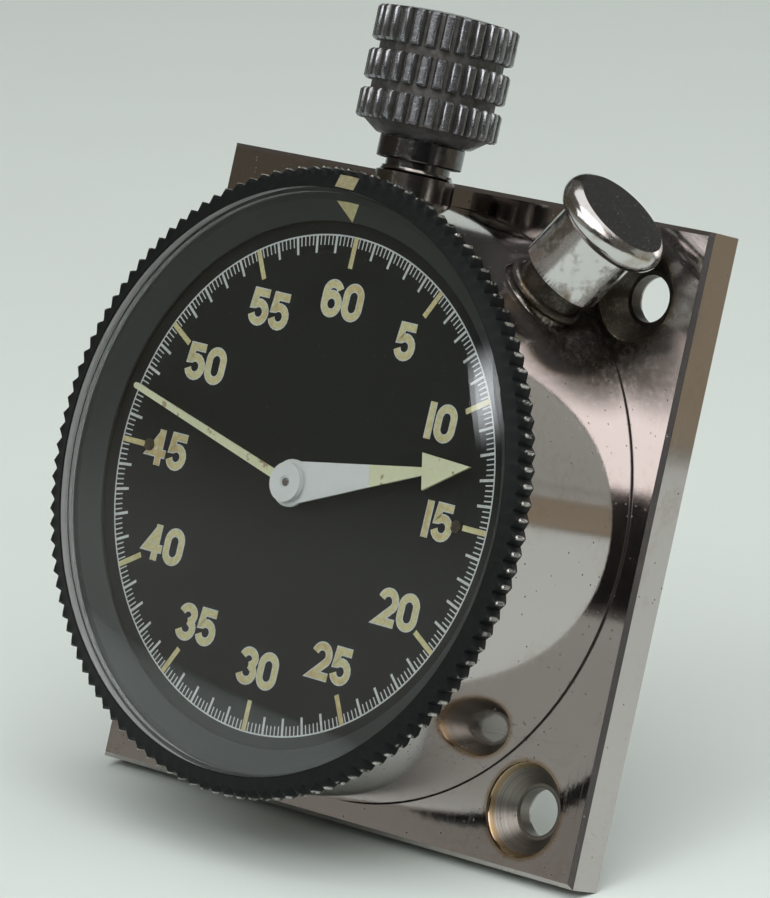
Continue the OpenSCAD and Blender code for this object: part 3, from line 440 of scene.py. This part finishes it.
class Jig:
    """A Geometry Nodes tree with named inputs for its sizes."""

    def __init__(self, name, **sizes):
        self.tree = bpy.data.node_groups.new(name, "GeometryNodeTree")
        face = self.tree.interface
        self.keys = {}
        for size, kind in sizes.items():
            socket = face.new_socket(size, in_out="INPUT", socket_type="NodeSocket" + kind)
            self.keys[size] = socket.identifier
        face.new_socket("Geometry", in_out="OUTPUT", socket_type="NodeSocketGeometry")
        self.given = self.tree.nodes.new("NodeGroupInput").outputs

    def node(self, kind, settings=None, sockets=None, out=0):
        return add_node(self.tree, kind, settings, sockets).outputs[out]

    def maths(self, operation, a, b=0.0, clamp=False):
        return self.node("ShaderNodeMath", {"operation": operation, "use_clamp": clamp}, {0: a, 1: b})

    def place(self, x=0.0, y=0.0, z=0.0):
        return self.node("ShaderNodeCombineXYZ", {}, {0: x, 1: y, 2: z})

    def end(self, geometry):
        """Ends the tree in real geometry with its finish on."""
        solid = self.node("GeometryNodeRealizeInstances", {}, {"Geometry": geometry})
        done = self.node("GeometryNodeSetMaterial", {}, {
            "Geometry": solid, "Material": self.given["Finish"]})
        self.tree.links.new(done, self.tree.nodes.new("NodeGroupOutput").inputs[0])

    def made(self, name, sizes, start=None):
        """What the tree makes with those sizes, as a plain mesh."""
        maker = bpy.data.objects.new(name + "_maker", start or bpy.data.meshes.new(name + "_maker"))
        bpy.context.scene.collection.objects.link(maker)
        modifier = maker.modifiers.new(name, "NODES")
        modifier.node_group = self.tree
        for size, value in sizes.items():
            modifier[self.keys[size]] = value
        mesh = bpy.data.meshes.new_from_object(maker.evaluated_get(bpy.context.evaluated_depsgraph_get()))
        bpy.data.meshes.remove(maker.data)
        return mesh


def tick_jig():
    """Bars set round a circle in the dial's plane, leaving out every skipped one."""
    jig = Jig("dial_ticks", Count="Int", Skip="Int", Radius="Float", Length="Float", Width="Float",
              Thickness="Float", Turn="Float", Centre="Vector", Finish="Material")
    given, maths = jig.given, jig.maths
    index = maths("ADD", jig.node("GeometryNodeInputIndex"), 1.0)
    angle = maths("ADD", maths("MULTIPLY", index, maths("DIVIDE", math.tau, given["Count"])), given["Turn"])
    middle = maths("SUBTRACT", given["Radius"], maths("MULTIPLY", given["Length"], 0.5))
    spot = jig.place(x=maths("MULTIPLY", middle, maths("SINE", angle)),
                     z=maths("MULTIPLY", middle, maths("COSINE", angle)))
    points = jig.node("GeometryNodePoints", {}, {
        "Count": given["Count"],
        "Position": jig.node("ShaderNodeVectorMath", {"operation": "ADD"}, {0: spot, 1: given["Centre"]})})
    shown = maths("GREATER_THAN", maths("MODULO", index, given["Skip"]), 0.5)
    bar = jig.node("GeometryNodeMeshCube", {}, {
        "Size": jig.place(given["Width"], given["Thickness"], given["Length"])})
    jig.end(jig.node("GeometryNodeInstanceOnPoints", {}, {
        "Points": points, "Selection": shown, "Instance": bar, "Rotation": jig.place(y=angle)}))
    return jig


def turning_jig():
    """A profile turned round an axis, its radius lifted along each rib.

    The profile's points hold (radius, rib, height). Across a rib, off runs from 1 at its sides to 0 at its
    middle, and the lift is (Base + Slope * off ** Power) ** Bow, kept between 0 and 1.
    """
    jig = Jig("ribbed_turning", Profile="Geometry", Rows="Int", Steps="Int", Ribs="Int", Base="Float",
              Slope="Float", Power="Float", Bow="Float", Finish="Material")
    given, maths = jig.given, jig.maths
    index = jig.node("GeometryNodeInputIndex")
    column = maths("FLOOR", maths("DIVIDE", index, given["Rows"]))
    row = maths("SUBTRACT", index, maths("MULTIPLY", column, given["Rows"]))
    profile = jig.node("GeometryNodeSampleIndex", {"data_type": "FLOAT_VECTOR"}, {
        "Geometry": given["Profile"], "Value": jig.node("GeometryNodeInputPosition"), "Index": row})
    radius, rib, height = (jig.node("ShaderNodeSeparateXYZ", {}, {0: profile}, out=k) for k in range(3))
    share = maths("FRACT", maths("DIVIDE", maths("MULTIPLY", column, given["Ribs"]), given["Steps"]))
    off = maths("ABSOLUTE", maths("SUBTRACT", maths("MULTIPLY", share, 2.0), 1.0))
    slope = maths("MULTIPLY", given["Slope"], maths("POWER", off, given["Power"]))
    lift = maths("POWER", maths("ADD", given["Base"], slope, clamp=True), given["Bow"])
    reach = maths("ADD", radius, maths("MULTIPLY", rib, lift))
    angle = maths("MULTIPLY", column, maths("DIVIDE", math.tau, given["Steps"]))
    grid = jig.node("GeometryNodeMeshGrid", {}, {
        "Vertices X": maths("ADD", given["Steps"], 1.0), "Vertices Y": given["Rows"]})
    bent = jig.node("GeometryNodeSetPosition", {}, {
        "Geometry": grid,
        "Position": jig.place(maths("MULTIPLY", reach, maths("COSINE", angle)),
                              maths("MULTIPLY", reach, maths("SINE", angle)), height)})
    jig.end(jig.node("GeometryNodeMergeByDistance", {}, {"Geometry": bent, "Distance": SAME_POINT * MM}))
    return jig


tick_maker = tick_jig()
turning_maker = turning_jig()

# The print's thicknesses. A second stroke of a numeral stands a step over the first.
TICK_T, TRACK_T, NUMERAL_T, STROKE_STEP = 0.02, 0.01, 0.012, 0.004


def ticks(name, material, slot, count, skip, length, width):
    mesh = tick_maker.made(name, {
        "Count": count, "Skip": skip, "Radius": TRACK_R * MM, "Length": length * MM, "Width": width * MM,
        "Thickness": TICK_T * MM, "Turn": math.radians(PRINT_TURN), "Centre": on_dial(0, 0, DIAL_FACE),
        "Finish": material})
    piece(name, mesh, "case", material, slot)


ticks("fifth_ticks", white_ink, "hand_white", 300, 5, 0.9, 0.12)
ticks("second_ticks", white_ink, "hand_white", 60, 5, 1.6, 0.25)
ticks("five_ticks", finishes["cream"], "cream", 12, 13, 2.75, 0.5)


def ribbon(bm, path, half, depth, thick, loop=False):
    """A flat stroke with mitred corners along (right, up) points, as a thin closed solid."""
    count = len(path)
    rings = []
    for i, (x, y) in enumerate(path):
        before = path[i - 1] if loop or i else None
        after = path[(i + 1) % count] if loop or i < count - 1 else None
        into = Vector((x - before[0], y - before[1])).normalized() if before else None
        out = Vector((after[0] - x, after[1] - y)).normalized() if after else into
        into = into or out
        normal = Vector((-into.y - out.y, into.x + out.x)).normalized()
        reach = half / max(0.35, normal.dot(Vector((-into.y, into.x)))) * normal
        corners = ((-reach, 0), (reach, 0), (reach, thick), (-reach, thick))
        rings.append([bm.verts.new(on_dial(x + r.x, y + r.y, depth + lift)) for r, lift in corners])
    for i in range(count if loop else count - 1):
        near, far = rings[i], rings[(i + 1) % count]
        for k in range(4):
            bm.faces.new((near[k], near[(k + 1) % 4], far[(k + 1) % 4], far[k]))
    if not loop:
        bm.faces.new(rings[0])
        bm.faces.new(rings[-1])


def arc(cx, cy, rx, ry, start, end, steps=14):
    angles = [math.radians(start + (end - start) * i / steps) for i in range(steps + 1)]
    return [(cx + rx * math.cos(a), cy + ry * math.sin(a)) for a in angles]


# Centre lines of the numerals' strokes, in a cell about the origin. True marks a closed stroke.
DIGIT_W, DIGIT_H = 1.66, 2.62
EDGE_HALF, LUME_HALF = 0.39, 0.29
ONE_W, STROKE_W, DIGIT_GAP = 0.9, 0.62, 0.18
W, H, END = DIGIT_W / 2, DIGIT_H / 2, STROKE_W / 2
STROKES = {
    "0": [(arc(0, H - W, W, W, 0, 180) + arc(0, W - H, W, W, 180, 360), True)],
    "1": [([(0, -H - END), (0, H + END)], False)],
    "2": [(arc(0, H - W, W, W, 165, -35) + [(-W * 0.86, -H), (W + 0.3, -H)], False)],
    "3": [(arc(0, H - 0.66, W * 0.92, 0.66, 165, -80), False),
          (arc(0, 0.74 - H, W, 0.74, 80, -165), False)],
    "4": [([(W * 0.36, -H - END), (W * 0.36, H + END)], False),
          ([(W * 0.36, H - 0.1), (-W - 0.02, -H * 0.4), (W + 0.28, -H * 0.4)], False)],
    "5": [([(W + 0.12, H), (-W * 0.7, H), (-W * 0.84, 0.16)] + arc(0, 0.83 - H, W, 0.83, 128, -165),
           False)],
    "6": [(arc(0, H - W, W, W, 25, 180) + [(-W, W - H)], False),
          (arc(0, W - H, W, W, 180, 540, 28)[:-1], True)],
}


def numerals(name, half, depth, material, slot):
    """The twelve numbers of the dial, upright, in strokes of that half width."""
    bm = bmesh.new()
    lean = Matrix.Rotation(math.radians(-PRINT_TURN), 2)
    for minutes in range(5, 65, 5):
        text = str(minutes)
        middle = Vector(clock(NUMERAL_R, minutes, PRINT_TURN))
        widths = [ONE_W if c == "1" else DIGIT_W + STROKE_W for c in text]
        x = -(sum(widths) + DIGIT_GAP * (len(text) - 1)) / 2
        for c, width in zip(text, widths):
            for layer, (path, loop) in enumerate(STROKES[c]):
                points = [middle + lean @ Vector((px + x + width / 2, py)) for px, py in path]
                ribbon(bm, points, half, depth, NUMERAL_T + STROKE_STEP * layer, loop)
            x += width + DIGIT_GAP
    piece(name, closed(name, bm), "case", material, slot)


numerals("numeral_edges", EDGE_HALF, DIAL_FACE, white_ink, "hand_white")
numerals("numerals", LUME_HALF, DIAL_FACE + 0.014, finishes["cream"], "cream")

TRACK_STEPS, TRACK_HALF = 240, 0.07
bm = bmesh.new()
circle = arc(0, 0, TRACK_R, TRACK_R, 0, 360 - 360 / TRACK_STEPS, TRACK_STEPS - 1)
ribbon(bm, circle, TRACK_HALF, DIAL_FACE, TRACK_T, True)
piece("track_circle", closed("track_circle", bm), "case", white_ink, "hand_white")

# Turned pieces stand on the dial's axis or on the crown's
DIAL_AXIS = Matrix(((1, 0, 0, 0), (0, 0, -1, 0), (0, 1, 0, DIAL_RISE * MM), (0, 0, 0, 1)))
CROWN_AXIS = Matrix(((1, 0, 0, 0), (0, -1, 0, -CROWN_DEPTH * MM), (0, 0, 1, DIAL_RISE * MM), (0, 0, 0, 1)))


def turned(name, axis, rows, body, material, slot, steps=180, ribs=1, lift=(0.0, 0.0, 1.0, 1.0)):
    """One closed piece from (height, radius, rib) rows, its ribs shaped by (base, slope, power, bow)."""
    profile = bpy.data.meshes.new(name + "_profile")
    profile.from_pydata([(radius * MM, rib * MM, height * MM) for height, radius, rib in rows], [], [])
    sizes = dict(zip(("Base", "Slope", "Power", "Bow"), lift))
    sizes.update(Rows=len(rows), Steps=steps, Ribs=ribs, Finish=material)
    mesh = turning_maker.made(name, sizes, profile)
    mesh.transform(axis)
    bm = bmesh.new()
    bm.from_mesh(mesh)
    bpy.data.meshes.remove(mesh)
    return piece(name, closed(name, bm, smooth=True), body, material, slot)


# The crown: three bands of flat-topped ribs on a core, over a cone, a hollow skirt and its neck
CROWN_R, CORE_R, CROWN_TOP = 6.4, 5.6, 43.4
RIBS, RIB_STEPS, RIB_SHARE = 27, 16, 0.74
RIB, RIB_WORN = CROWN_R - CORE_R, 0.2
BANDS = [(32.9, 35.5), (36.35, 39.0), (39.85, 42.95)]
rows = [(26.6, 0, 0), (26.6, 2.9, 0), (30.4, 2.9, 0), (30.4, 3.5, 0), (29.85, 3.5, 0), (29.85, 3.7, 0),
        (29.95, 3.85, 0), (31.65, 3.85, 0), (31.8, 3.75, 0), (31.9, 4.3, 0), (32.8, 5.5, 0)]
for low, high in BANDS:
    rows += [(low, CORE_R, 0), (low, CORE_R, RIB * 0.75), (low + RIB_WORN, CORE_R, RIB),
             (high - RIB_WORN, CORE_R, RIB), (high, CORE_R, RIB * 0.75), (high, CORE_R, 0)]
rows += [(CROWN_TOP - 0.4 * (k / 8) ** 2, CORE_R * 1.03 * k / 8, 0) for k in range(8, -1, -1)]
crown = turned("ribbed_crown", CROWN_AXIS, rows, "crown_body", own_finish["crown"], "nickel",
               RIBS * RIB_STEPS, RIBS, (1.0, -1 / RIB_SHARE ** 4, 4.0, 0.4))
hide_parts("crown")

# The turning ring: notched teeth round its edge, a sloping top, and the skirt that runs in the case
RING_R, VALLEY_R = 27.95, 27.2
TEETH, TOOTH_STEPS = 120, 6
TOOTH = RING_R - VALLEY_R
rows = [(15.05, 24.9, 0), (15.05, 26.15, 0), (17.45, 26.15, 0), (17.45, 27, 0),
        (17.6, VALLEY_R, TOOTH * 0.5), (18.25, VALLEY_R, TOOTH), (19.1, VALLEY_R, TOOTH),
        (19.42, VALLEY_R - 0.1, TOOTH * 0.62),
        (19.46, 27.1, 0), (19.85, 26.1, 0), (19.82, 26.02, 0), (17.1, 26.02, 0), (17.1, 25.15, 0),
        (16.3, 25.15, 0), (16.3, 24.9, 0), (15.05, 24.9, 0)]
ring = turned("coin_edge_ring", DIAL_AXIS, rows, "bezel_body", finishes["black_metal"], "black_metal",
              TEETH * TOOTH_STEPS, TEETH, (0.0, 1.08, 1.0, 1.0))
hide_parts("bezel")

# The domed crystal: an even shell with a turned-down rim that stands on the flange, its edge left matt
CRYSTAL_R, CRYSTAL_T, RIM_T = 26.0, 1.6, 0.4
SEAT, EDGE, DOME_RISE = 17.57, 19.7, 2.2
BALL_R = (CRYSTAL_R ** 2 + DOME_RISE ** 2) / (2 * DOME_RISE)
BALL_AT = EDGE + DOME_RISE - BALL_R
DOME_STEPS = 24


def dome(ball, rim):
    radii = [rim * i / DOME_STEPS for i in range(DOME_STEPS + 1)]
    return [(BALL_AT + math.sqrt(ball ** 2 - r ** 2), r, 0) for r in radii]


inside = dome(BALL_R - CRYSTAL_T, CRYSTAL_R - RIM_T)
rows = dome(BALL_R, CRYSTAL_R) + [(SEAT, CRYSTAL_R, 0), (SEAT, CRYSTAL_R - RIM_T, 0)] + inside[::-1]
crystal = turned("clear_dome", DIAL_AXIS, rows, "bezel_body", finishes["acrylic"], "acrylic")
crystal.data.materials.append(frosted_edge)
for face in crystal.data.polygons:
    out = face.center - on_dial(0, 0, 0)
    outermost = math.hypot(out.x, out.z) > (CRYSTAL_R - 0.1) * MM
    face.material_index = int(outermost and abs(face.normal.y) < 0.1)
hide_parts("crystal")

# Fillers that make the barrel's wall whole over the four screw pockets, as (right, up, half angle)
POCKETS = [(17.9, 17.1, 3.7), (17.9, -18.1, 5.3), (-17.9, -18.1, 5.3), (-17.9, 17.1, 3.7)]
POCKET_TOP, FILLER_STEPS = 10.8, 24
INNER_R, OUTER_R = BARREL_R - 1.6, BARREL_R + 0.004
section = ((INNER_R, PLATE_FACE), (OUTER_R, PLATE_FACE), (OUTER_R, POCKET_TOP), (INNER_R, POCKET_TOP))
bm = bmesh.new()
for x, y, half in POCKETS:
    rings = []
    for step in range(FILLER_STEPS + 1):
        a = math.atan2(y, x) + math.radians(half) * (2 * step / FILLER_STEPS - 1)
        rings.append([bm.verts.new(on_dial(r * math.cos(a), r * math.sin(a), depth))
                      for r, depth in section])
    for near, far in zip(rings, rings[1:]):
        for k in range(4):
            bm.faces.new((near[k], near[(k + 1) % 4], far[(k + 1) % 4], far[k]))
    bm.faces.new(rings[0])
    bm.faces.new(rings[-1])
piece("wall_fillers", closed("wall_fillers", bm, smooth=True), "case", finishes["nickel"], "nickel")

# The set mark on the sloping flange, which turns with the bezel
MARK_R, MARK_LENGTH, MARK_HALF, MARK_T = 24.95, 1.6, 1.3, 0.02
FLANGE_FOOT_R, FLANGE_FOOT, FLANGE_SLOPE = 23.3, 16.4, 0.6765
bm = bmesh.new()
rows = []
for share in (0.0, 0.5, 1.0):
    radius = MARK_R - MARK_LENGTH * share
    depth = FLANGE_FOOT + (radius - FLANGE_FOOT_R) * FLANGE_SLOPE + 0.01
    half = MARK_HALF * (1 - share) + 0.03
    angles = [math.radians(90) - side * half / radius for side in (-1, 0, 1)]
    rows.append([[bm.verts.new(on_dial(radius * math.cos(a), radius * math.sin(a), depth + lift))
                  for lift in (0, MARK_T)] for a in angles])
for near, far in zip(rows, rows[1:]):
    for i in range(2):
        for lift in (0, 1):
            bm.faces.new((near[i][lift], near[i + 1][lift], far[i + 1][lift], far[i][lift]))
rim = [*rows[0], rows[1][2], *rows[2][::-1], rows[1][0]]
for a, b in zip(rim, rim[1:] + rim[:1]):
    bm.faces.new((a[0], b[0], b[1], a[1]))
piece("set_mark", closed("set_mark", bm), "bezel_body", finishes["cream"], "cream")

# The camera, from the photograph's own perspective
camera = bpy.data.objects.new("camera", bpy.data.cameras.new("camera"))
bpy.context.scene.collection.objects.link(camera)
camera.data.sensor_width = 36
camera.data.lens = 242.27
camera.data.clip_start = 0.01
eye = Vector((0.3577, -0.40766, 0.01303))
right = Vector((0.727211, 0.652822, 0.212102))
top = Vector((-0.167984, -0.130344, 0.977134))
camera.matrix_world = Matrix.Translation(eye) @ Matrix((right, top, right.cross(top))).transposed().to_4x4()
bpy.context.scene.camera = camera

# The studio, in metres as (right, back, up) over the floor on which the plate leans: a pale floor and sweep,
# a brown table with a grey one and a grey wall beyond it, and dark curtains and a room wall, which the
# polished metal reflects. The room wall glows as painted light, brighter near the floor and darker up high
low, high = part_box("mounting_plate")
studio = Matrix.Translation((0, 0, low.z)) @ Matrix.Rotation(PLATE_LEAN, 4, "X")
PALE = ((0.75, 0.82, 0.78), (0.73, 0.79, 0.76))
BROWN = ((0.35, 0.3, 0.21), (0.32, 0.265, 0.18))
GREY = ((0.31, 0.32, 0.295), (0.28, 0.29, 0.265))
DIM = ((0.08, 0.08, 0.08), (0.06, 0.06, 0.06))
DARK = ((0.03, 0.03, 0.03), (0.02, 0.02, 0.02))
# The room wall's glow: painted light, brighter near the floor and darker up high
ROOM_GLOW = ((0.2, 0.19, 0.175), (0.07, 0.06, 0.045))


def stage_sheet(name, corners, material):
    mesh = bpy.data.meshes.new(name)
    mesh.from_pydata([studio @ Vector(c) for c in corners], [], [range(len(corners))])
    mesh.materials.append(material)
    sheet = bpy.data.objects.new(name, mesh)
    bpy.context.scene.collection.objects.link(sheet)


def studio_paint(name, tones, rough=0.8, glow=0.0, fade=None):
    """Two tones that mix as clouds, or from low to high where fade gives the heights, and that may glow."""
    p = Paint(name)
    tone = p.mix(p.up.rise(*fade) if fade else p.noise(0.03, 3), *tones)
    return p.finish(Base_Color=tone, Roughness=rough, Emission_Color=tone, Emission_Strength=glow)


def window_glow(name, at, clear, edge, tint, glow):
    """Light that dims into the room's dark between those distances from its middle."""
    p = Paint(name)
    x, y, z = studio @ Vector(at) / MM
    far = p.near((x, z - DIAL_RISE, -y)).rise(clear / MM, edge / MM)
    tone = p.mix(far, tint, (0.06 / glow, 0.06 / glow, 0.06 / glow))
    return p.finish(Base_Color=(0.02, 0.02, 0.02), Emission_Color=tone, Emission_Strength=glow)


stage_sheet("pale_floor", [(-3, -3, 0), (0.4, -3, 0), (0.4, 0.1, 0), (-0.1, 0.9, 0), (-3, 0.9, 0)],
            studio_paint("pale_floor", PALE))
stage_sheet("brown_table",
            [(0.09, 0.13, 0.001), (0.5, 0.02, 0.001), (0.6, 0.25, 0.001), (0.19, 0.36, 0.001)],
            studio_paint("brown_table", BROWN, 0.6))
stage_sheet("far_table", [(0.19, 0.36, 0.002), (0.6, 0.25, 0.002), (1.8, 1.1, 0.002), (0.3, 1.1, 0.002)],
            studio_paint("far_table", GREY, 0.9, 0.6))
stage_sheet("back_wall", [(0.3, 1.1, 0), (1.9, 1.1, 0), (1.9, 1.1, 0.55), (0.3, 1.1, 0.55)],
            studio_paint("back_wall", GREY, 1.0, 0.9))
stage_sheet("pale_sweep", [(-3, 0.9, 0), (-0.1, 0.9, 0), (-0.1, 1, 0.28), (-3, 1, 0.28)],
            studio_paint("pale_sweep", PALE, 0.8, 0.3))
stage_sheet("back_curtain", [(-1.5, 1.1, 0.2), (0.3, 1.1, 0.2), (0.3, 1.1, 1.2), (-1.5, 1.1, 1.2)],
            studio_paint("back_curtain", DIM, 1.0))
# The room wall is no lamp but glows: painted light that fades from bright low down to dark up high
stage_sheet("glowing_room_wall", [(0, -2, 0), (-2, -0.25, 0), (-2, -0.25, 1.2), (0, -2, 1.2)],
            studio_paint("glowing_room_wall", ROOM_GLOW, 1.0, 0.9, (-180, 60)))
stage_sheet("front_curtain", [(0.4, -1.22, 0.03), (1.2, -0.48, 0.03), (1.2, -0.48, 0.6), (0.4, -1.22, 0.6)],
            studio_paint("front_curtain", DARK, 1.0))

# A slanting pane of sky, which shows as the soft highlight on the crystal
SKY = (0.93, 0.97, 1)
PANE_AT = (-0.495, -1, 0.515)
PANE_HALF_W, PANE_HALF_H, PANE_SLANT = 0.024, 0.1, 0.07
pane = [(PANE_AT[0] + x * PANE_HALF_W - z * PANE_SLANT, PANE_AT[1], PANE_AT[2] + z * PANE_HALF_H)
        for x, z in ((-1, -1), (1, -1), (1, 1), (-1, 1))]
stage_sheet("window_pane", pane, window_glow("window_pane", PANE_AT, 0.01, PANE_HALF_H, SKY, 6))

world = bpy.data.worlds.new("studio")
bpy.context.scene.world = world
world.use_nodes = True
world.node_tree.nodes["Background"].inputs["Color"].default_value = (0.5, 0.47, 0.41, 1)
world.node_tree.nodes["Background"].inputs["Strength"].default_value = 0.22
bpy.context.scene.view_settings.view_transform = "Standard"


def softbox(name, at, size, watts, tint=(1, 1, 1)):
    """An oblong lamp over the floor, turned to the dial."""
    lamp = bpy.data.lights.new(name, "AREA")
    lamp.shape = "RECTANGLE"
    lamp.size, lamp.size_y = size
    lamp.energy = watts
    lamp.color = tint
    box = bpy.data.objects.new(name, lamp)
    bpy.context.scene.collection.objects.link(box)
    box.location = studio @ Vector(at)
    box.rotation_mode = "QUATERNION"
    box.rotation_quaternion = (-box.location).to_track_quat("-Z", "Y")


softbox("overhead_light", (0.15, 0.2, 0.95), (1.3, 1.0), 4.4)
softbox("front_light", (0.6, -0.65, 1.1), (1.5, 1.1), 15.3)
softbox("window_light", (0.0, -1.0, 0.78), (1.06, 0.5), 2.9, SKY)
